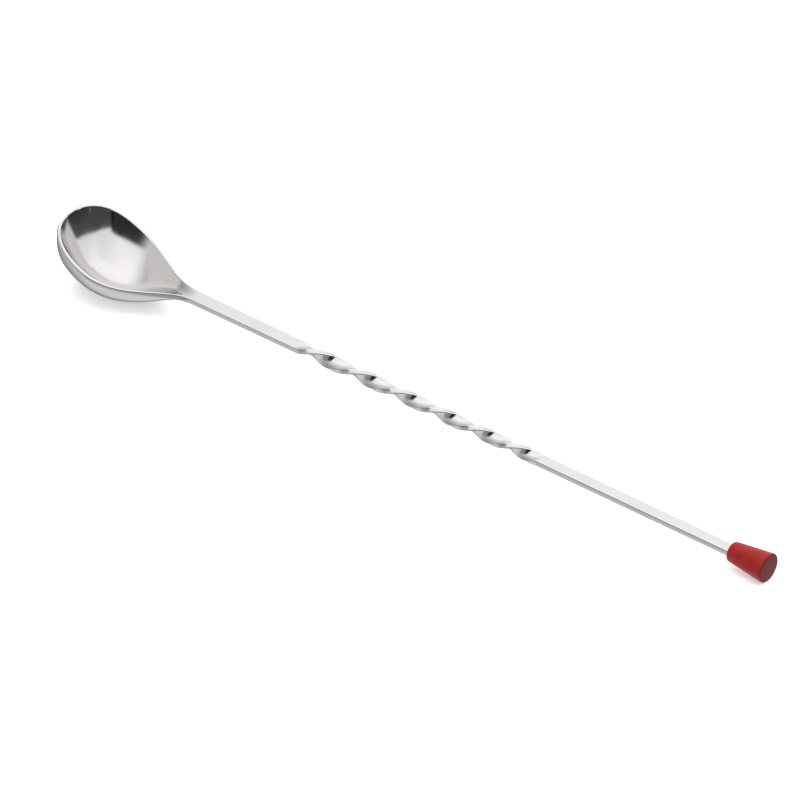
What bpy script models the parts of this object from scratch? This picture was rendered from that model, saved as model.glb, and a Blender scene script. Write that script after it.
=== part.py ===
"""Bar spoon: a twisted stainless spoon and the red knob that is pushed on the end of its stem.

Metres, +Z up. The stem runs along +X from the bowl to the knob and the bowl opens upwards.
The origin is below the middle of the spoon's length, at the height of the bowl's lowest point.
Heights in the shape functions below are measured from the stem's flat top face.
"""

import math

import bmesh
import bpy
from mathutils import Matrix, Vector

MM = 0.001

# Overall
TOTAL_LENGTH = 280 * MM
CLEARANCE = 0.3 * MM

# Bowl: lengths run from its tip along the stem
TIP_SETBACK = 0.9 * MM
BOWL_LENGTH = 53.5 * MM
NECK_AT = TIP_SETBACK + BOWL_LENGTH
BOWL_HALF_WIDTH = 15.5 * MM
WIDEST_AT = 0.33
TIP_BLUNTNESS = 2.3
NECK_SWEEP = 0.97
TIP_RISE = 10.3 * MM
TIP_RISE_CURVE = 1.74
RIM_DIP = 3.65 * MM
BOWL_DEPTH = 12.9 * MM
BOWL_LEAN = 0.5
DEEPEST_AT = 0.235
TIP_WALL_CURVE = 2.8
HEEL_CURVE = 1.17
CROSS_CURVE = 3.7
HOLLOW_LEAN = 0.2
HOLLOW_TIP_CURVE = 1.9
HOLLOW_CROSS_CURVE = 2.3
RIM_THICKNESS = 1.35 * MM
RIM_LIP = 0.7 * MM
LEAST_HOLLOW_SHARE = 0.6
NECK_GAP = 3 * MM

# Stem: one flat strip, twisted in its middle
STRIP_THICKNESS = 2.2 * MM
STRIP_WIDTH_NECK = 5.3 * MM
STRIP_WIDTH_TWIST_START = 4.9 * MM
STRIP_WIDTH_TWIST_END = 4.2 * MM
STRIP_WIDTH_END = 4.0 * MM
EDGE_RADIUS = 0.45 * MM
EDGE_SHARE = 0.35
TWIST_START = 96.4 * MM
TWIST_END = 194.2 * MM
TWIST_TURNS = 3
TWIST_RATE_GAIN = 0.24
TWIST_RUN_IN = 3 * MM
TANG_CHAMFER = 0.8 * MM

# Knob: a blunt cone with a blind slot for the end of the strip
KNOB_LENGTH = 13.8 * MM
KNOB_SMALL_RADIUS = 3.3 * MM
KNOB_LARGE_RADIUS = 4.8 * MM
KNOB_SMALL_ROUNDING = 0.7 * MM
KNOB_LARGE_ROUNDING = 0.5 * MM
KNOB_END_WALL = 1.9 * MM
SLOT_EXTRA_DEPTH = 0.4 * MM
SLOT_OVERSHOOT = 2 * MM

# Fineness of the meshes
BOWL_STATIONS = 30
STATIONS_TOWARDS_TIP = 1.5
ACROSS_HALF = 6
RIM_STEPS = 2
TWIST_STEPS_PER_TURN = 20
CORNER_STEPS = 2
KNOB_SIDES = 40
ROUNDING_STEPS = 4

FIRST_STATION = 0.0005
MERGE_DISTANCE = 0.01 * MM
SHARP_ANGLE = math.radians(35)


def clear_scene():
    for obj in list(bpy.data.objects):
        bpy.data.objects.remove(obj, do_unlink=True)


def material(name, colour, roughness, metallic):
    made = bpy.data.materials.new(name)
    made.use_nodes = True
    shader = made.node_tree.nodes["Principled BSDF"]
    shader.inputs["Base Color"].default_value = (*colour, 1.0)
    shader.inputs["Roughness"].default_value = roughness
    shader.inputs["Metallic"].default_value = metallic
    return made


def add_object(name, mesh, look):
    mesh.materials.append(look)
    mesh.shade_smooth()
    mesh.set_sharp_from_angle(angle=SHARP_ANGLE)
    obj = bpy.data.objects.new(name, mesh)
    bpy.context.scene.collection.objects.link(obj)
    return obj


def mix(a, b, share):
    return a + (b - a) * share


def clamp(value):
    return min(max(value, 0.0), 1.0)


def half_wave(share):
    """1 at share 0, falling smoothly to 0 at share 1."""
    return 0.5 + 0.5 * math.cos(math.pi * clamp(share))


# Shape of the bowl. u is the share of the bowl's length from its tip.


def outline_half_width(u):
    """Half width of the bowl's outline: a blunt oval tip, then a long sweep in to the stem."""
    if u < WIDEST_AT:
        share = (WIDEST_AT - u) / WIDEST_AT
        return BOWL_HALF_WIDTH * (1 - share**TIP_BLUNTNESS) ** (1 / TIP_BLUNTNESS)
    sweep = half_wave(((u - WIDEST_AT) / (1 - WIDEST_AT)) ** NECK_SWEEP)
    return mix(STRIP_WIDTH_NECK / 2, BOWL_HALF_WIDTH, sweep)


def rim_height(u):
    """Height of the rim: it dips a little behind the neck and rises to the tip."""
    dip = (4 * u * (1 - u)) ** 2
    return TIP_RISE * (1 - u) ** TIP_RISE_CURVE - RIM_DIP * dip


def depth_share(u, tip_wall_curve):
    """Share of the bowl's depth: steep behind the tip, then an easy run up to the neck."""
    if u < DEEPEST_AT:
        return 1 - (1 - clamp(u / DEEPEST_AT)) ** tip_wall_curve
    return half_wave(((u - DEEPEST_AT) / (1 - DEEPEST_AT)) ** HEEL_CURVE)


def edge_thickness(u):
    """The metal's thickness: thin round the bowl, the strip's own at the neck."""
    return mix(STRIP_THICKNESS, RIM_THICKNESS, half_wave(u))


def quarter(inset):
    """How far a quarter round has dropped: 1 at its outer end, where inset is 0, and 0 past its inner end."""
    return 1 - math.sqrt(1 - (1 - clamp(inset)) ** 2)


def bowl_section(u):
    """Closed loop across the bowl: over the rim and the hollow from +Y to -Y, then back underneath.

    The walls lean towards the tip as they go down, square to the tilted rim. The hollow is rounder than
    the outside, so the metal is thickest low down round the tip and the sides.
    """
    half = outline_half_width(u)
    height = rim_height(u)
    edge = edge_thickness(u)
    radius = min(EDGE_RADIUS, EDGE_SHARE * half)
    tip_drop = EDGE_RADIUS * quarter(u * BOWL_LENGTH / EDGE_RADIUS)
    pull = RIM_LIP / BOWL_LENGTH * clamp(1 - u / WIDEST_AT)
    inner_u = max(u - pull, 0.0)
    inner_half = outline_half_width(inner_u) - RIM_LIP * half_wave(u)
    inner_half = min(max(inner_half, LEAST_HOLLOW_SHARE * half), half - radius)
    outer_depth = (BOWL_DEPTH - edge) * depth_share(u, TIP_WALL_CURVE)
    inner_depth = (BOWL_DEPTH - edge) * depth_share(inner_u, HOLLOW_TIP_CURVE)
    steps = range(-ACROSS_HALF, ACROSS_HALF + 1)
    across = [math.sin(0.5 * math.pi * k / ACROSS_HALF) for k in steps]
    rim = []
    for k in range(RIM_STEPS + 1):
        inset = 1 - math.sin(0.5 * math.pi * k / RIM_STEPS)
        rim.append((half - radius * inset, height - max(EDGE_RADIUS * quarter(inset), tip_drop)))
    over = list(reversed(rim))
    for t in reversed(across):
        drop = max(inner_depth * (1 - abs(t) ** HOLLOW_CROSS_CURVE), tip_drop)
        over.append((inner_half * t, height - drop))
    over += [(-y, z) for y, z in rim]
    under = [(half * t, height - edge - outer_depth * (1 - abs(t) ** CROSS_CURVE)) for t in across]
    x = TIP_SETBACK + u * BOWL_LENGTH
    loop = []
    for side, lean in ((over, HOLLOW_LEAN), (under, BOWL_LEAN)):
        loop += [Vector((x - lean * half_wave(u) * (height - z), y, z)) for y, z in side]
    return loop


# Shape of the stem. x is the distance from the bowl's tip.


def strip_width(x):
    """The strip narrows steadily from the neck to the knob."""
    if x < TWIST_START:
        share = (x - NECK_AT) / (TWIST_START - NECK_AT)
        return mix(STRIP_WIDTH_NECK, STRIP_WIDTH_TWIST_START, share)
    if x < TWIST_END:
        share = (x - TWIST_START) / (TWIST_END - TWIST_START)
        return mix(STRIP_WIDTH_TWIST_START, STRIP_WIDTH_TWIST_END, share)
    share = (x - TWIST_END) / (TOTAL_LENGTH - TWIST_END)
    return mix(STRIP_WIDTH_TWIST_END, STRIP_WIDTH_END, share)


def twist_rate(x):
    """Relative rate of twist: eased in and out, and a little faster towards the knob."""
    share = (x - TWIST_START) / (TWIST_END - TWIST_START)
    ease = 1 - half_wave((x - TWIST_START) / TWIST_RUN_IN)
    ease *= 1 - half_wave((TWIST_END - x) / TWIST_RUN_IN)
    return (1 + TWIST_RATE_GAIN * (share - 0.5)) * ease


def twist_stations():
    """(x, angle) along the twist. The angle adds up to whole turns, so both flats face up."""
    count = TWIST_STEPS_PER_TURN * TWIST_TURNS
    step = (TWIST_END - TWIST_START) / count
    stations = [(TWIST_START, 0.0)]
    total = 0.0
    for i in range(count):
        total += twist_rate(TWIST_START + (i + 0.5) * step)
        stations.append((TWIST_START + (i + 1) * step, total))
    scale = 2 * math.pi * TWIST_TURNS / total
    return [(x, angle * scale) for x, angle in stations]


def strip_section(x, angle=0.0, inset=0.0):
    """Closed loop across the strip, a rectangle with rounded edges. The twist is left-handed."""
    half_y = strip_width(x) / 2 - inset
    half_z = STRIP_THICKNESS / 2 - inset
    radius = EDGE_RADIUS
    turn = Matrix.Rotation(-angle, 3, "X")
    middle = Vector((x, 0, -STRIP_THICKNESS / 2))
    loop = []
    for corner, (sign_y, sign_z) in enumerate(((1, 1), (-1, 1), (-1, -1), (1, -1))):
        for k in range(CORNER_STEPS + 1):
            around = 0.5 * math.pi * (corner + k / CORNER_STEPS)
            y = sign_y * (half_y - radius) + radius * math.cos(around)
            z = sign_z * (half_z - radius) + radius * math.sin(around)
            loop.append(middle + turn @ Vector((0, y, z)))
    return loop


def add_ring(bm, points):
    verts = [bm.verts.new(p) for p in points]
    edges = [bm.edges.new((verts[i], verts[(i + 1) % len(verts)])) for i in range(len(verts))]
    return verts, edges


def skin(bm, first, second):
    count = len(first)
    for i in range(count):
        j = (i + 1) % count
        bm.faces.new((first[i], first[j], second[j], second[i]))


def spoon_mesh():
    """Bowl and stem in one closed skin."""
    bm = bmesh.new()
    rings = []
    for i in range(BOWL_STATIONS + 1):
        u = mix(FIRST_STATION, 1.0, (i / BOWL_STATIONS) ** STATIONS_TOWARDS_TIP)
        rings.append(add_ring(bm, bowl_section(u)))
    for (first, _), (second, _) in zip(rings, rings[1:]):
        skin(bm, first, second)
    bm.faces.new(rings[0][0])
    neck_edges = rings[-1][1]

    tang_end = TOTAL_LENGTH - KNOB_END_WALL - SLOT_EXTRA_DEPTH
    places = [(NECK_AT + NECK_GAP, 0.0, 0.0)]
    places += [(x, angle, 0.0) for x, angle in twist_stations()]
    places += [(tang_end - TANG_CHAMFER, 0.0, 0.0)]
    places += [(tang_end, 0.0, TANG_CHAMFER / 2)]
    rings = [add_ring(bm, strip_section(*place)) for place in places]
    for (first, _), (second, _) in zip(rings, rings[1:]):
        skin(bm, first, second)
    bm.faces.new(rings[-1][0])
    bmesh.ops.bridge_loops(bm, edges=neck_edges + rings[0][1])

    bmesh.ops.recalc_face_normals(bm, faces=bm.faces)
    mesh = bpy.data.meshes.new("spoon")
    bm.to_mesh(mesh)
    bm.free()
    return mesh


def arc(centre_x, centre_r, radius, start, end):
    """Points (x, r) on a quarter of a circle, from start to end degrees."""
    points = []
    for k in range(ROUNDING_STEPS + 1):
        around = math.radians(mix(start, end, k / ROUNDING_STEPS))
        points.append((centre_x + radius * math.cos(around), centre_r + radius * math.sin(around)))
    return points


def knob_profile():
    """(x, r) from the middle of the small end to the middle of the large end."""
    slope = math.degrees(math.atan2(KNOB_LARGE_RADIUS - KNOB_SMALL_RADIUS, KNOB_LENGTH))
    side = 90 + slope
    small_r = KNOB_SMALL_RADIUS - KNOB_SMALL_ROUNDING
    large_r = KNOB_LARGE_RADIUS - KNOB_LARGE_ROUNDING
    small = arc(KNOB_SMALL_ROUNDING, small_r, KNOB_SMALL_ROUNDING, 180, side)
    large = arc(KNOB_LENGTH - KNOB_LARGE_ROUNDING, large_r, KNOB_LARGE_ROUNDING, side, 0)
    return [(0.0, 0.0)] + small + large + [(KNOB_LENGTH, 0.0)]


def knob_mesh():
    """The solid cone, turned about its own X axis."""
    bm = bmesh.new()
    verts = [bm.verts.new((x, 0, r)) for x, r in knob_profile()]
    edges = [bm.edges.new(pair) for pair in zip(verts, verts[1:])]
    bmesh.ops.spin(
        bm,
        geom=verts + edges,
        cent=(0, 0, 0),
        axis=(1, 0, 0),
        angle=2 * math.pi,
        steps=KNOB_SIDES,
        use_merge=True,
    )
    bmesh.ops.remove_doubles(bm, verts=bm.verts, dist=MERGE_DISTANCE)
    bmesh.ops.recalc_face_normals(bm, faces=bm.faces)
    mesh = bpy.data.meshes.new("knob")
    bm.to_mesh(mesh)
    bm.free()
    return mesh


def slot_cutter():
    """A block the size of the strip's end plus the clearance, reaching out past the small end."""
    depth = KNOB_LENGTH - KNOB_END_WALL
    width = strip_width(TOTAL_LENGTH - KNOB_LENGTH) + 2 * CLEARANCE
    height = STRIP_THICKNESS + 2 * CLEARANCE
    bm = bmesh.new()
    bmesh.ops.create_cube(bm, size=1.0)
    bmesh.ops.scale(bm, vec=(depth + SLOT_OVERSHOOT, width, height), verts=bm.verts)
    bmesh.ops.translate(bm, vec=((depth - SLOT_OVERSHOOT) / 2, 0, 0), verts=bm.verts)
    mesh = bpy.data.meshes.new("slot_cutter")
    bm.to_mesh(mesh)
    bm.free()
    cutter = bpy.data.objects.new("slot_cutter", mesh)
    bpy.context.scene.collection.objects.link(cutter)
    cutter.hide_render = True
    cutter.display_type = "WIRE"
    return cutter


def lowest(mesh):
    return min(v.co.z for v in mesh.vertices)


def build():
    clear_scene()
    steel = material("stainless_steel", (0.72, 0.71, 0.70), 0.18, 1.0)
    red = material("red_plastic", (0.26, 0.008, 0.008), 0.35, 0.0)

    mesh = spoon_mesh()
    base = bpy.data.objects.new("bar_spoon", None)
    bpy.context.scene.collection.objects.link(base)
    base.location = (-TOTAL_LENGTH / 2, 0, -lowest(mesh))

    spoon = add_object("spoon", mesh, steel)
    spoon.parent = base

    knob = add_object("knob", knob_mesh(), red)
    knob.parent = base
    knob.location = (TOTAL_LENGTH - KNOB_LENGTH, 0, -STRIP_THICKNESS / 2)
    cutter = slot_cutter()
    cutter.parent = base
    cutter.location = knob.location
    slot = knob.modifiers.new("slot", "BOOLEAN")
    slot.operation = "DIFFERENCE"
    slot.solver = "EXACT"
    slot.object = cutter


build()
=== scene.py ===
"""Bar spoon: the finished surfaces, materials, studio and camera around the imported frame."""

import math

import bmesh
import bpy
from mathutils import Matrix, Vector


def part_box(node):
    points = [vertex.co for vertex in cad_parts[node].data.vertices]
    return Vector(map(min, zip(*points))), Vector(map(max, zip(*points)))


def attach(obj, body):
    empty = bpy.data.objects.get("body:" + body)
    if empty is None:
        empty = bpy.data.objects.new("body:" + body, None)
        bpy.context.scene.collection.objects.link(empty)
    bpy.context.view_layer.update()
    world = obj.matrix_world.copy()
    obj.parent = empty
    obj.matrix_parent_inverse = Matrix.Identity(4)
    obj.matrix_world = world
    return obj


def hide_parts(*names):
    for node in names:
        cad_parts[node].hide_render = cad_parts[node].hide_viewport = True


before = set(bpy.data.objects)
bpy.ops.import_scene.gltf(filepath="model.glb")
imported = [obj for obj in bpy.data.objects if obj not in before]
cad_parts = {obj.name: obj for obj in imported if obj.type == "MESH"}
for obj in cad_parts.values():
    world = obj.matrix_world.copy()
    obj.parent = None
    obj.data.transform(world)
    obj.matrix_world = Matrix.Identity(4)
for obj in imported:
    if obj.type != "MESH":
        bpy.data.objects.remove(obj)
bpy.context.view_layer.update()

MM = 0.001

# The CAD design's own dimensions. x runs from the bowl's tip, and z from the stem's flat top.
TOTAL_LENGTH = 280 * MM
TIP_SETBACK = 0.9 * MM
BOWL_LENGTH = 53.5 * MM
NECK_AT = TIP_SETBACK + BOWL_LENGTH
BOWL_HALF_WIDTH = 15.5 * MM
WIDEST_AT = 0.33
TIP_BLUNTNESS = 2.3
NECK_SWEEP = 0.97
TIP_RISE = 10.3 * MM
TIP_RISE_CURVE = 1.74
RIM_DIP = 3.65 * MM
BOWL_DEPTH = 12.9 * MM
BOWL_LEAN = 0.5
DEEPEST_AT = 0.235
TIP_WALL_CURVE = 2.8
HEEL_CURVE = 1.17
CROSS_CURVE = 3.7
HOLLOW_LEAN = 0.2
HOLLOW_TIP_CURVE = 1.9
HOLLOW_CROSS_CURVE = 2.3
RIM_THICKNESS = 1.35 * MM
RIM_LIP = 0.7 * MM
LEAST_HOLLOW_SHARE = 0.6
STRIP_THICKNESS = 2.2 * MM
STRIP_WIDTH_NECK = 5.3 * MM
STRIP_WIDTH_TWIST_START = 4.9 * MM
STRIP_WIDTH_TWIST_END = 4.2 * MM
STRIP_WIDTH_END = 4.0 * MM
EDGE_RADIUS = 0.45 * MM
EDGE_SHARE = 0.35
TWIST_START = 96.4 * MM
TWIST_END = 194.2 * MM
TWIST_TURNS = 3
TWIST_RATE_GAIN = 0.24
TWIST_RUN_IN = 3 * MM
TANG_CHAMFER = 0.8 * MM
KNOB_LENGTH = 13.8 * MM
KNOB_SMALL_RADIUS = 3.3 * MM
KNOB_LARGE_RADIUS = 4.8 * MM
KNOB_SMALL_ROUNDING = 0.7 * MM
KNOB_LARGE_ROUNDING = 0.5 * MM
KNOB_END_WALL = 1.9 * MM
SLOT_EXTRA_DEPTH = 0.4 * MM
CLEARANCE = 0.3 * MM

# Fine shape that only the visible metal has: how deep the twist's faces are dished, how soft the
# inner edge of the bowl's lip is, and how far round its lower edge turns to meet the underside
TWIST_DISH = 0.2 * MM
CREST_SOFTNESS = 0.2 * MM
CREST_SOFTNESS_SHARE = 0.3
UNDER_TURN = math.radians(20)

# Fineness of the visible meshes. The outline has no width at the tip, so the first station is
# a little way in from it.
FIRST_STATION = 0.00002
BOWL_STATIONS = 120
FLAT_STATIONS = 8
TWIST_STEPS_PER_TURN = 60
ACROSS_HALF = 20
EDGE_STEPS = 7
LIP_STEPS = 4
LIP_START_SHARE = 0.96
KNOB_SIDES = 96
ROUNDING_STEPS = 8
SLOT_OVERSHOOT = 2 * MM
MERGE_DISTANCE = 0.001 * MM
SHARP_ANGLE = math.radians(35)

# Steel: colours, roughness, and how fine and how deep its grain, haze and mottle are. The grain
# is drawn out along the metal.
LIGHT_STEEL = (0.72, 0.71, 0.705, 1)
DULL_STEEL = (0.69, 0.68, 0.675, 1)
STEEL_ROUGHNESS = (0.10, 0.14)
MOTTLE_ROUGHNESS = (0.0, 0.03)
GRAIN_STRETCH = 0.03
GRAIN_SCALE = 9000.0
GRAIN_DETAIL = 3.0
GRAIN_DEPTH = 0.004 * MM
HAZE_SCALE = 90.0
HAZE_DETAIL = 3.0
HAZE_SHARPNESS = 0.6
HAZE_COLOUR_RANGE = (0.45, 0.75)
HAZE_ROUGHNESS_RANGE = (0.35, 0.75)
MOTTLE_SCALE = 900.0
MOTTLE_RANGE = (0.3, 0.8)
MOTTLE_DEPTH = 0.002 * MM
STEEL_BUMP = 0.5

# Knob: colours, roughness, gloss, and how fine its clouding and its orange peel are. The free end's
# darker colour is painted shade, for the end that faces away from the light; it fades in over the
# last part of the knob's length.
KNOB_REDS = ((0.24, 0.006, 0.006, 1), (0.28, 0.008, 0.007, 1))
KNOB_END_SHADE_RED = (0.10, 0.004, 0.004, 1)
KNOB_END_SHADE_FADE = (0.35 * MM, 0.05 * MM)
KNOB_ROUGHNESS = (0.28, 0.36)
KNOB_SPECULAR = 0.25
CLOUD_SCALE = 260.0
CLOUD_RANGE = (0.3, 0.7)
PEEL_SCALE = 2600.0
PEEL_DEPTH = 0.004 * MM
PEEL_BUMP = 0.4

# Table: a white sweep with a light of its own, so that only a soft shadow is left on it
BOWL_LOWEST_AT = 22.6 * MM
SWEEP_RADIUS = 4.0
SWEEP_SIDES = 64
SWEEP_COLOUR = (0.92, 0.92, 0.92, 1)
SWEEP_ROUGHNESS = 0.9
SWEEP_SPECULAR = 0.1
SWEEP_GLOW = 0.35

# Softbox over the spoon
SOFTBOX_AT = (-0.1, 0.5, 1.2)
SOFTBOX_SIZE = (2.4, 2.0)
SOFTBOX_POWER = 24

# Camera: upright, looking down at the spoon from in front of it
CAMERA_TARGET = (-1.3 * MM, -1.2 * MM, -2.15 * MM)
CAMERA_AZIMUTH = math.radians(38.77)
CAMERA_ELEVATION = math.radians(36.02)
CAMERA_DISTANCE = 1.8
CAMERA_LENS = 258.8
CAMERA_SENSOR = 36.0
CAMERA_REACH = 20.0

# Studio. A height is a direction's own, -1 straight down and 1 straight up. The tent's light runs
# from level to overhead and the table's from straight down to near level, and they meet at the
# horizon. The tent dims over a range of how much a direction points to the left.
STUDIO_COLOUR = (1.0, 0.988, 0.985, 1)
TENT_LIGHT = (0.95, 1.30)
TABLE_LIGHT = (0.82, 0.50)
TABLE_HEIGHTS = (-1.0, -0.2)
HORIZON_HEIGHTS = (-0.12, 0.0)
LEFT_AZIMUTH = -85
LEFT_RANGE = (0.4, 1.0)
LEFT_DIMMING = 0.62

# Dark cards round the studio. Their edges are slopes, up and to the right for one step towards the
# card's middle, each a pair between which the card fades in or out. lean makes the top edge climb
# to the right, and light_left is the share of the light that the card leaves.
DARK_CARDS = (
    {
        "azimuth": 5,
        "left": (-1.30, -0.15),
        "right": (0.50, 0.72),
        "bottom": (-0.15, 0.0),
        "top": (0.46, 0.60),
        "lean": -0.12,
        "light_left": 0.03,
    },
    {
        "azimuth": 85,
        "left": (-1.65, -1.15),
        "right": (2.3, 2.9),
        "bottom": (-0.6, -0.4),
        "top": (0.24, 0.31),
        "lean": -0.19,
        "light_left": 0.075,
    },
    {
        "azimuth": 5,
        "left": (-0.90, -0.60),
        "right": (0.60, 0.80),
        "bottom": (-1.05, -0.8),
        "top": (-0.15, 0.0),
        "lean": 0.0,
        "light_left": 0.60,
    },
)
CARD_FRONT = 0.002
CARD_LEAST_AWAY = 0.001

# Soft round patches, which fade in from the first to the second angle off their middle. The first
# is the spoon's shadow on the table behind it, and the second a seam between two tent cloths.
DARK_PATCHES = (
    {"azimuth": -138, "elevation": -41, "fade": (38, 4), "light_left": 0.35},
    {"azimuth": 62, "elevation": 54, "fade": (46, 0), "light_left": 0.84},
)

KNOB_LOW, KNOB_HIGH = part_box("knob")
STRIP_TOP = 0.5 * (KNOB_LOW.z + KNOB_HIGH.z) + 0.5 * STRIP_THICKNESS
BOWL_TIP_X = KNOB_HIGH.x - TOTAL_LENGTH


def place(x, y, z):
    """A point of the design in the frame's own coordinates."""
    return Vector((BOWL_TIP_X + x, y, STRIP_TOP + z))


def mix(a, b, share):
    return a + (b - a) * share


def clamp(value):
    return min(max(value, 0.0), 1.0)


def half_wave(share):
    """1 at share 0, falling smoothly to 0 at share 1."""
    return 0.5 + 0.5 * math.cos(math.pi * clamp(share))


# ---------------------------------------------------------------- bowl


def outline_half_width(u):
    if u < WIDEST_AT:
        share = (WIDEST_AT - u) / WIDEST_AT
        return BOWL_HALF_WIDTH * (1 - share**TIP_BLUNTNESS) ** (1 / TIP_BLUNTNESS)
    sweep = half_wave(((u - WIDEST_AT) / (1 - WIDEST_AT)) ** NECK_SWEEP)
    return mix(STRIP_WIDTH_NECK / 2, BOWL_HALF_WIDTH, sweep)


def rim_height(u):
    dip = (4 * u * (1 - u)) ** 2
    return TIP_RISE * (1 - u) ** TIP_RISE_CURVE - RIM_DIP * dip


def depth_share(u, tip_wall_curve):
    if u < DEEPEST_AT:
        return 1 - (1 - clamp(u / DEEPEST_AT)) ** tip_wall_curve
    return half_wave(((u - DEEPEST_AT) / (1 - DEEPEST_AT)) ** HEEL_CURVE)


def edge_thickness(u):
    return mix(STRIP_THICKNESS, RIM_THICKNESS, half_wave(u))


def quarter(inset):
    """A quarter round's drop: 1 at its outer end, where inset is 0, and 0 past its inner end."""
    return 1 - math.sqrt(1 - (1 - clamp(inset)) ** 2)


def ease_across(k):
    """Share of the way out from the middle, with the points closer together towards the edge."""
    return math.sin(0.5 * math.pi * k / ACROSS_HALF)


def under_round(half, low, radius, turn):
    """(y, z) down and inwards round the lower edge, ending where the underside starts."""
    turns = [turn * k / EDGE_STEPS for k in range(EDGE_STEPS + 1)]
    return [(half - radius * (1 - math.cos(a)), low + radius * (1 - math.sin(a))) for a in turns]


def section(x, over, under):
    """A closed loop across the metal from (y, z) points on its +Y side, running outwards."""
    loop = [(-y, z) for y, z in reversed(over[1:])] + over
    loop += list(reversed(under)) + [(-y, z) for y, z in under[1:]]
    return [Vector((x, y, z)) for y, z in loop]


def bowl_section(u):
    """Closed loop across the bowl at share u of its length, leaning back towards the tip.

    The hollow starts a lip's width inside the outline and is rounder than the outside.
    """
    half = outline_half_width(u)
    height = rim_height(u)
    thickness = edge_thickness(u)
    neck = 1 - half_wave(u)
    radius = min(EDGE_RADIUS, EDGE_SHARE * half)
    tip_drop = EDGE_RADIUS * quarter(u * BOWL_LENGTH / EDGE_RADIUS)
    pull = RIM_LIP / BOWL_LENGTH * clamp(1 - u / WIDEST_AT)
    inner_u = max(u - pull, 0.0)
    inner_half = outline_half_width(inner_u) - RIM_LIP * half_wave(u)
    inner_half = max(inner_half, LEAST_HOLLOW_SHARE * half)
    inner_half = min(inner_half, LIP_START_SHARE * (half - radius))
    outer_depth = (BOWL_DEPTH - thickness) * depth_share(u, TIP_WALL_CURVE)
    inner_depth = (BOWL_DEPTH - thickness) * depth_share(inner_u, HOLLOW_TIP_CURVE)
    softness = min(CREST_SOFTNESS, CREST_SOFTNESS_SHARE * inner_depth)

    def top_drop(y):
        hollow = inner_depth * (1 - (y / inner_half) ** HOLLOW_CROSS_CURVE)
        return max(0.5 * (hollow + math.sqrt(hollow**2 + softness**2)), tip_drop)

    ys = [inner_half * ease_across(k) for k in range(ACROSS_HALF + 1)]
    ys += [mix(inner_half, half - radius, k / LIP_STEPS) for k in range(1, LIP_STEPS)]
    over = [(y, height - top_drop(y)) for y in ys]
    for k in range(EDGE_STEPS + 1):
        inset = 1 - math.sin(0.5 * math.pi * k / EDGE_STEPS)
        y = half - radius * inset
        over.append((y, height - max(EDGE_RADIUS * quarter(inset), top_drop(y))))

    turn = mix(UNDER_TURN, 0.5 * math.pi, neck)
    lower_edge = under_round(half, height - thickness, radius, turn)
    end_y, end_z = lower_edge[-1]
    under = []
    for k in range(ACROSS_HALF):
        t = ease_across(k)
        under.append((end_y * t, end_z - outer_depth * (1 - t**CROSS_CURVE)))
    loop = section(TIP_SETBACK + u * BOWL_LENGTH, over, under + list(reversed(lower_edge)))
    top_count = 2 * len(over) - 1
    leans = [HOLLOW_LEAN] * top_count + [BOWL_LEAN] * (len(loop) - top_count)
    setback = half_wave(u)
    return [
        p - Vector((lean * setback * (height - p.z), 0, 0)) for p, lean in zip(loop, leans)
    ]


# ---------------------------------------------------------------- stem


def strip_width(x):
    if x < TWIST_START:
        share = (x - NECK_AT) / (TWIST_START - NECK_AT)
        return mix(STRIP_WIDTH_NECK, STRIP_WIDTH_TWIST_START, share)
    if x < TWIST_END:
        share = (x - TWIST_START) / (TWIST_END - TWIST_START)
        return mix(STRIP_WIDTH_TWIST_START, STRIP_WIDTH_TWIST_END, share)
    share = (x - TWIST_END) / (TOTAL_LENGTH - TWIST_END)
    return mix(STRIP_WIDTH_TWIST_END, STRIP_WIDTH_END, share)


def twist_ease(x):
    """0 where the strip is flat and 1 where it is fully twisted."""
    ease = 1 - half_wave((x - TWIST_START) / TWIST_RUN_IN)
    return ease * (1 - half_wave((TWIST_END - x) / TWIST_RUN_IN))


def twist_rate(x):
    share = (x - TWIST_START) / (TWIST_END - TWIST_START)
    return (1 + TWIST_RATE_GAIN * (share - 0.5)) * twist_ease(x)


def twist_stations():
    """(x, angle) along the twist, whose angle adds up to whole turns."""
    count = TWIST_STEPS_PER_TURN * TWIST_TURNS
    step = (TWIST_END - TWIST_START) / count
    angle = 0.0
    stations = [(TWIST_START, 0.0)]
    for i in range(count):
        angle += twist_rate(TWIST_START + (i + 0.5) * step)
        stations.append((TWIST_START + (i + 1) * step, angle))
    scale = 2 * math.pi * TWIST_TURNS / angle
    return [(x, a * scale) for x, a in stations]


def strip_section(x, angle=0.0, inset=0.0):
    """Closed loop across the strip, a rectangle with rounded edges. The twist is left-handed.

    Twisting stretches the strip's edges, which leaves its wide faces a little dished.
    """
    half = strip_width(x) / 2 - inset
    low = -STRIP_THICKNESS + inset
    radius = EDGE_RADIUS
    flat = half - radius
    start = LIP_START_SHARE * flat
    ys = [start * ease_across(k) for k in range(ACROSS_HALF + 1)]
    ys += [mix(start, flat, k / LIP_STEPS) for k in range(1, LIP_STEPS)]
    dish = TWIST_DISH * twist_ease(x)
    over = [(y, -inset - dish * (1 - (y / flat) ** 2)) for y in ys]
    for k in range(EDGE_STEPS + 1):
        a = 0.5 * math.pi * k / EDGE_STEPS
        over.append((flat + radius * math.sin(a), -inset - radius * (1 - math.cos(a))))
    lower_edge = under_round(half, low, radius, 0.5 * math.pi)
    under = []
    for k in range(ACROSS_HALF):
        t = ease_across(k)
        under.append((flat * t, low + dish * (1 - t**2)))
    loop = section(x, over, under + list(reversed(lower_edge)))
    middle = Vector((x, 0, -STRIP_THICKNESS / 2))
    turn = Matrix.Rotation(-angle, 3, "X")
    return [middle + turn @ (p - middle) for p in loop]


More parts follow.
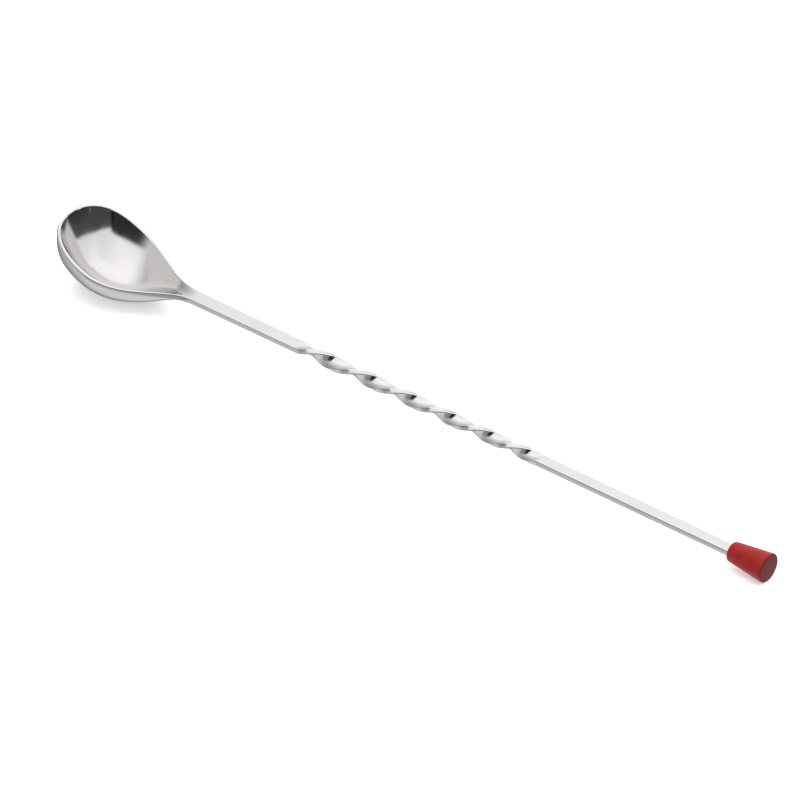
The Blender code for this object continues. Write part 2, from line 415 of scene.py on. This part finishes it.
def spoon_sections():
    """Every loop from the bowl's tip to the tang's end. Those of the bowl crowd towards its tip."""
    loops = []
    for i in range(BOWL_STATIONS):
        loops.append(bowl_section(mix(FIRST_STATION, 1.0, (i / BOWL_STATIONS) ** 2)))
    loops.append(bowl_section(1.0))
    for i in range(1, FLAT_STATIONS):
        loops.append(strip_section(mix(NECK_AT, TWIST_START, i / FLAT_STATIONS)))
    loops += [strip_section(x, angle) for x, angle in twist_stations()]
    tang_end = TOTAL_LENGTH - KNOB_END_WALL - SLOT_EXTRA_DEPTH
    for i in range(1, FLAT_STATIONS + 1):
        loops.append(strip_section(mix(TWIST_END, tang_end - TANG_CHAMFER, i / FLAT_STATIONS)))
    loops.append(strip_section(tang_end, 0.0, TANG_CHAMFER / 2))
    return loops


def new_object(name, data):
    obj = bpy.data.objects.new(name, data)
    bpy.context.scene.collection.objects.link(obj)
    return obj


def new_mesh(name, bm):
    mesh = bpy.data.meshes.new(name)
    bm.to_mesh(mesh)
    bm.free()
    return mesh


def new_piece(name, bm):
    bmesh.ops.recalc_face_normals(bm, faces=bm.faces)
    mesh = new_mesh(name, bm)
    mesh.shade_smooth()
    return new_object(name, mesh)


def spoon_piece():
    """The whole metal piece in one skin, with its grain's own coordinates stored on its points."""
    bm = bmesh.new()
    along = bm.verts.layers.float.new("along")
    across = bm.verts.layers.float.new("across")
    rings = []
    for points in spoon_sections():
        ring = [bm.verts.new(place(*p)) for p in points]
        travelled = 0.0
        for i, vert in enumerate(ring):
            vert[along] = points[0].x
            vert[across] = travelled
            travelled += (points[(i + 1) % len(points)] - points[i]).length
        rings.append(ring)
    for first, second in zip(rings, rings[1:]):
        for i in range(len(first)):
            j = (i + 1) % len(first)
            bm.faces.new((first[i], first[j], second[j], second[i]))
    bm.faces.new(rings[0])
    bm.faces.new(rings[-1])
    return new_piece("polished_spoon", bm)


# ---------------------------------------------------------------- knob


def arc(centre_x, centre_r, radius, start, end):
    """(x, r) points round an arc. Its angles are in degrees."""
    points = []
    for k in range(ROUNDING_STEPS + 1):
        a = math.radians(mix(start, end, k / ROUNDING_STEPS))
        points.append((centre_x + radius * math.cos(a), centre_r + radius * math.sin(a)))
    return points


def knob_profile():
    """(x, r) points from the middle of the knob's small end to the middle of its free end."""
    side = 90 + math.degrees(math.atan2(KNOB_LARGE_RADIUS - KNOB_SMALL_RADIUS, KNOB_LENGTH))
    small_r = KNOB_SMALL_RADIUS - KNOB_SMALL_ROUNDING
    large_r = KNOB_LARGE_RADIUS - KNOB_LARGE_ROUNDING
    small = arc(KNOB_SMALL_ROUNDING, small_r, KNOB_SMALL_ROUNDING, 180, side)
    large = arc(KNOB_LENGTH - KNOB_LARGE_ROUNDING, large_r, KNOB_LARGE_ROUNDING, side, 0)
    return [(0.0, 0.0)] + small + large + [(KNOB_LENGTH, 0.0)]


def slot_cutter():
    """A block the size of the slot, standing a little way out of the knob's small end."""
    depth = KNOB_LENGTH - KNOB_END_WALL
    width = strip_width(TOTAL_LENGTH - KNOB_LENGTH) + 2 * CLEARANCE
    size = (depth + SLOT_OVERSHOOT, width, STRIP_THICKNESS + 2 * CLEARANCE)
    middle = place(TOTAL_LENGTH - KNOB_LENGTH, 0, -STRIP_THICKNESS / 2)
    middle += Vector(((depth - SLOT_OVERSHOOT) / 2, 0, 0))
    bm = bmesh.new()
    bmesh.ops.create_cube(bm, size=1.0)
    bmesh.ops.scale(bm, vec=size, verts=bm.verts)
    bmesh.ops.translate(bm, vec=middle, verts=bm.verts)
    return new_piece("slot_cutter", bm)


def knob_piece():
    bm = bmesh.new()
    verts = [bm.verts.new((x, 0, r)) for x, r in knob_profile()]
    edges = [bm.edges.new(pair) for pair in zip(verts, verts[1:])]
    bmesh.ops.spin(
        bm,
        geom=verts + edges,
        cent=(0, 0, 0),
        axis=(1, 0, 0),
        angle=2 * math.pi,
        steps=KNOB_SIDES,
        use_merge=True,
    )
    bmesh.ops.remove_doubles(bm, verts=bm.verts, dist=MERGE_DISTANCE)
    middle_of_small_end = place(TOTAL_LENGTH - KNOB_LENGTH, 0, -STRIP_THICKNESS / 2)
    bmesh.ops.translate(bm, vec=middle_of_small_end, verts=bm.verts)
    knob = new_piece("moulded_knob", bm)

    cutter = slot_cutter()
    cut = knob.modifiers.new("slot", "BOOLEAN")
    cut.operation = "DIFFERENCE"
    cut.solver = "EXACT"
    cut.object = cutter
    bpy.context.view_layer.update()
    graph = bpy.context.evaluated_depsgraph_get()
    knob.data = bpy.data.meshes.new_from_object(knob.evaluated_get(graph))
    knob.modifiers.clear()
    bpy.data.objects.remove(cutter)
    knob.data.shade_smooth()
    knob.data.set_sharp_from_angle(angle=SHARP_ANGLE)
    return knob


# ---------------------------------------------------------------- materials


class Tree:
    """Short calls for building a node tree.

    An input may be a number, a tuple or another node's output.
    """

    def __init__(self, tree):
        self.nodes = tree.nodes
        self.links = tree.links

    def feed(self, made, inputs):
        for key, value in inputs.items():
            if isinstance(value, bpy.types.NodeSocket):
                self.links.new(value, made.inputs[key])
            else:
                made.inputs[key].default_value = value

    def node(self, kind, inputs=None, **settings):
        made = self.nodes.new(kind)
        for name, value in settings.items():
            setattr(made, name, value)
        self.feed(made, inputs or {})
        return made

    def math(self, operation, *values):
        return self.node("ShaderNodeMath", dict(enumerate(values)), operation=operation).outputs[0]

    def smooth(self, value, start, end, low=0.0, high=1.0):
        """low up to start and high past end, with a smooth run between them."""
        inputs = {"Value": value, "From Min": start, "From Max": end, "To Min": low, "To Max": high}
        made = self.node("ShaderNodeMapRange", inputs, interpolation_type="SMOOTHSTEP")
        return made.outputs[0]

    def dot(self, vector, direction):
        made = self.node("ShaderNodeVectorMath", {0: vector, 1: direction}, operation="DOT_PRODUCT")
        return made.outputs["Value"]

    def noise(self, vector, scale, detail=2.0, roughness=0.5):
        inputs = {"Vector": vector, "Scale": scale, "Detail": detail, "Roughness": roughness}
        return self.node("ShaderNodeTexNoise", inputs).outputs["Fac"]

    def attribute(self, name):
        return self.node("ShaderNodeAttribute", attribute_name=name).outputs["Fac"]

    def combine(self, x, y, z):
        return self.node("ShaderNodeCombineXYZ", {0: x, 1: y, 2: z}).outputs[0]

    def blend_colour(self, share, first, second):
        """A mix of two colours. The mix node's colour sockets are known by number only."""
        inputs = {0: share, 6: first, 7: second}
        return self.node("ShaderNodeMix", inputs, data_type="RGBA").outputs[2]

    def bump(self, height, distance, strength=1.0, normal=None):
        inputs = {"Height": height, "Distance": distance, "Strength": strength}
        if normal is not None:
            inputs["Normal"] = normal
        return self.node("ShaderNodeBump", inputs).outputs[0]


def new_material(name):
    made = bpy.data.materials.new(name)
    made.use_nodes = True
    return made, Tree(made.node_tree), made.node_tree.nodes["Principled BSDF"]


def steel_material():
    """Bright polished stainless steel: a fine lengthwise grain, a faint haze and a fine mottle."""
    made, tree, shader = new_material("polished_stainless")
    on_metal = tree.node("ShaderNodeTexCoord").outputs["Object"]
    along = tree.math("MULTIPLY", tree.attribute("along"), GRAIN_STRETCH)
    on_surface = tree.combine(along, tree.attribute("across"), 0.0)
    grain = tree.noise(on_surface, GRAIN_SCALE, GRAIN_DETAIL)
    haze = tree.noise(on_metal, HAZE_SCALE, HAZE_DETAIL, HAZE_SHARPNESS)
    mottle = tree.noise(on_metal, MOTTLE_SCALE)
    dullness = tree.smooth(haze, *HAZE_COLOUR_RANGE)
    haze_roughness = tree.smooth(haze, *HAZE_ROUGHNESS_RANGE, *STEEL_ROUGHNESS)
    mottle_roughness = tree.smooth(mottle, *MOTTLE_RANGE, *MOTTLE_ROUGHNESS)
    grain_normal = tree.bump(grain, GRAIN_DEPTH, STEEL_BUMP)
    tree.feed(shader, {
        "Metallic": 1.0,
        "Base Color": tree.blend_colour(dullness, LIGHT_STEEL, DULL_STEEL),
        "Roughness": tree.math("ADD", haze_roughness, mottle_roughness),
        "Normal": tree.bump(mottle, MOTTLE_DEPTH, STEEL_BUMP, grain_normal),
    })
    return made


def knob_material():
    """Red moulded plastic with a soft gloss, a very fine orange peel and painted shade on its flat
    end.
    """
    made, tree, shader = new_material("red_moulded_plastic")
    on_knob = tree.node("ShaderNodeTexCoord").outputs["Object"]
    cloud = tree.noise(on_knob, CLOUD_SCALE)
    peel = tree.noise(on_knob, PEEL_SCALE)
    fade_start, fade_end = (KNOB_HIGH.x - inset for inset in KNOB_END_SHADE_FADE)
    # Painted shade: the free end is darkened, since it faces away from the light.
    end_shade = tree.smooth(tree.dot(on_knob, (1, 0, 0)), fade_start, fade_end)
    side = tree.blend_colour(tree.smooth(cloud, *CLOUD_RANGE), *KNOB_REDS)
    tree.feed(shader, {
        "Base Color": tree.blend_colour(end_shade, side, KNOB_END_SHADE_RED),
        "Roughness": tree.smooth(cloud, *CLOUD_RANGE, *KNOB_ROUGHNESS),
        "Specular IOR Level": KNOB_SPECULAR,
        "Normal": tree.bump(peel, PEEL_DEPTH, PEEL_BUMP),
    })
    return made


# ---------------------------------------------------------------- studio


def heading(azimuth):
    """The level direction at azimuth degrees: 0 is -Y, towards the front, and 90 is +X."""
    a = math.radians(azimuth)
    return (math.sin(a), -math.cos(a), 0.0)


def card_light(tree, direction, azimuth, left, right, bottom, top, lean, light_left):
    """light_left inside a four-sided card that stands on one side of the studio, and 1 outside."""
    towards = tree.dot(direction, heading(azimuth))
    away = tree.math("MAXIMUM", towards, CARD_LEAST_AWAY)
    sideways = tree.math("DIVIDE", tree.dot(direction, heading(azimuth + 90)), away)
    upwards = tree.math("DIVIDE", tree.dot(direction, (0, 0, 1)), away)
    levelled = tree.math("SUBTRACT", upwards, tree.math("MULTIPLY", sideways, lean))
    mask = tree.math("GREATER_THAN", towards, CARD_FRONT)
    for value, edge, shares in (
        (sideways, left, (0.0, 1.0)),
        (sideways, right, (1.0, 0.0)),
        (upwards, bottom, (0.0, 1.0)),
        (levelled, top, (1.0, 0.0)),
    ):
        mask = tree.math("MULTIPLY", mask, tree.smooth(value, *edge, *shares))
    return tree.smooth(mask, 0.0, 1.0, 1.0, light_left)


def patch_light(tree, direction, azimuth, elevation, fade, light_left):
    """light_left in the middle of a soft round patch, and 1 outside it."""
    e = math.radians(elevation)
    middle = Vector(heading(azimuth)) * math.cos(e) + Vector((0, 0, math.sin(e)))
    outer, inner = (math.cos(math.radians(a)) for a in fade)
    return tree.smooth(tree.dot(direction, middle), outer, inner, 1.0, light_left)


def surroundings():
    """What the metal mirrors: a white tent, brightest overhead and dimmer on the left, dark cards
    low in front and on the right, and the white table with the spoon's own shadow behind it.
    """
    world = bpy.data.worlds.new("studio")
    world.use_nodes = True
    tree = Tree(world.node_tree)
    direction = tree.node("ShaderNodeTexCoord").outputs["Generated"]
    height = tree.dot(direction, (0, 0, 1))
    leftness = tree.dot(direction, heading(LEFT_AZIMUTH))
    dimming = tree.smooth(leftness, *LEFT_RANGE, 1.0, 1.0 - LEFT_DIMMING)
    above = tree.smooth(height, *HORIZON_HEIGHTS)
    below = tree.math("SUBTRACT", 1.0, above)
    tent_light = tree.math("MULTIPLY", tree.smooth(height, 0.0, 1.0, *TENT_LIGHT), dimming)
    tent_light = tree.math("MULTIPLY", tent_light, above)
    table_light = tree.smooth(height, *TABLE_HEIGHTS, *TABLE_LIGHT)
    table_light = tree.math("MULTIPLY", table_light, below)
    light = tree.math("ADD", tent_light, table_light)
    for patch in DARK_PATCHES:
        light = tree.math("MULTIPLY", light, patch_light(tree, direction, **patch))
    for card in DARK_CARDS:
        light = tree.math("MULTIPLY", light, card_light(tree, direction, **card))
    tree.feed(world.node_tree.nodes["Background"], {"Color": STUDIO_COLOUR, "Strength": light})
    bpy.context.scene.world = world


def look_along(obj, direction):
    obj.rotation_mode = "QUATERNION"
    obj.rotation_quaternion = direction.to_track_quat("-Z", "Y")


def camera():
    data = bpy.data.cameras.new("camera")
    data.lens = CAMERA_LENS
    data.sensor_width = CAMERA_SENSOR
    data.clip_end = CAMERA_REACH
    obj = new_object("camera", data)
    a, e = CAMERA_AZIMUTH, CAMERA_ELEVATION
    back = Vector((math.sin(a) * math.cos(e), -math.cos(a) * math.cos(e), math.sin(e)))
    x, y, z = CAMERA_TARGET
    obj.location = Vector((x, y, STRIP_TOP + z)) + back * CAMERA_DISTANCE
    look_along(obj, -back)
    bpy.context.scene.camera = obj


def table():
    """A wide white sweep, which slopes by the little that lets the spoon rest on its bowl and on
    its knob's lower edge.

    The metal mirrors the surroundings' own table and not this sweep, which only takes the shadow.
    """
    made, tree, shader = new_material("white_table")
    tree.feed(shader, {
        "Base Color": SWEEP_COLOUR,
        "Roughness": SWEEP_ROUGHNESS,
        "Specular IOR Level": SWEEP_SPECULAR,
        "Emission Color": (1, 1, 1, 1),
        "Emission Strength": SWEEP_GLOW,
    })
    bowl_low_x = place(BOWL_LOWEST_AT, 0, 0).x
    bm = bmesh.new()
    bmesh.ops.create_circle(bm, cap_ends=True, radius=SWEEP_RADIUS, segments=SWEEP_SIDES)
    mesh = new_mesh("sweep", bm)
    mesh.materials.append(made)
    obj = new_object("sweep", mesh)
    obj.location = (bowl_low_x, 0, 0)
    obj.rotation_euler = (0, -math.atan2(KNOB_LOW.z, KNOB_HIGH.x - bowl_low_x), 0)
    obj.visible_glossy = False


def softbox():
    """A large soft light that is aimed at the frame's origin and isn't seen in the metal."""
    data = bpy.data.lights.new("overhead", "AREA")
    data.shape = "RECTANGLE"
    data.size, data.size_y = SOFTBOX_SIZE
    data.energy = SOFTBOX_POWER
    obj = new_object("overhead", data)
    obj.location = SOFTBOX_AT
    look_along(obj, -Vector(SOFTBOX_AT))
    obj.visible_glossy = False


def studio():
    bpy.context.scene.view_settings.view_transform = "Standard"
    surroundings()
    softbox()
    table()


def dress():
    spoon = spoon_piece()
    spoon.data.materials.append(steel_material())
    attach(spoon, "spoon")
    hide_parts("spoon")

    knob = knob_piece()
    knob.data.materials.clear()
    knob.data.materials.append(knob_material())
    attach(knob, "knob")
    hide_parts("knob")


dress()
studio()
camera()
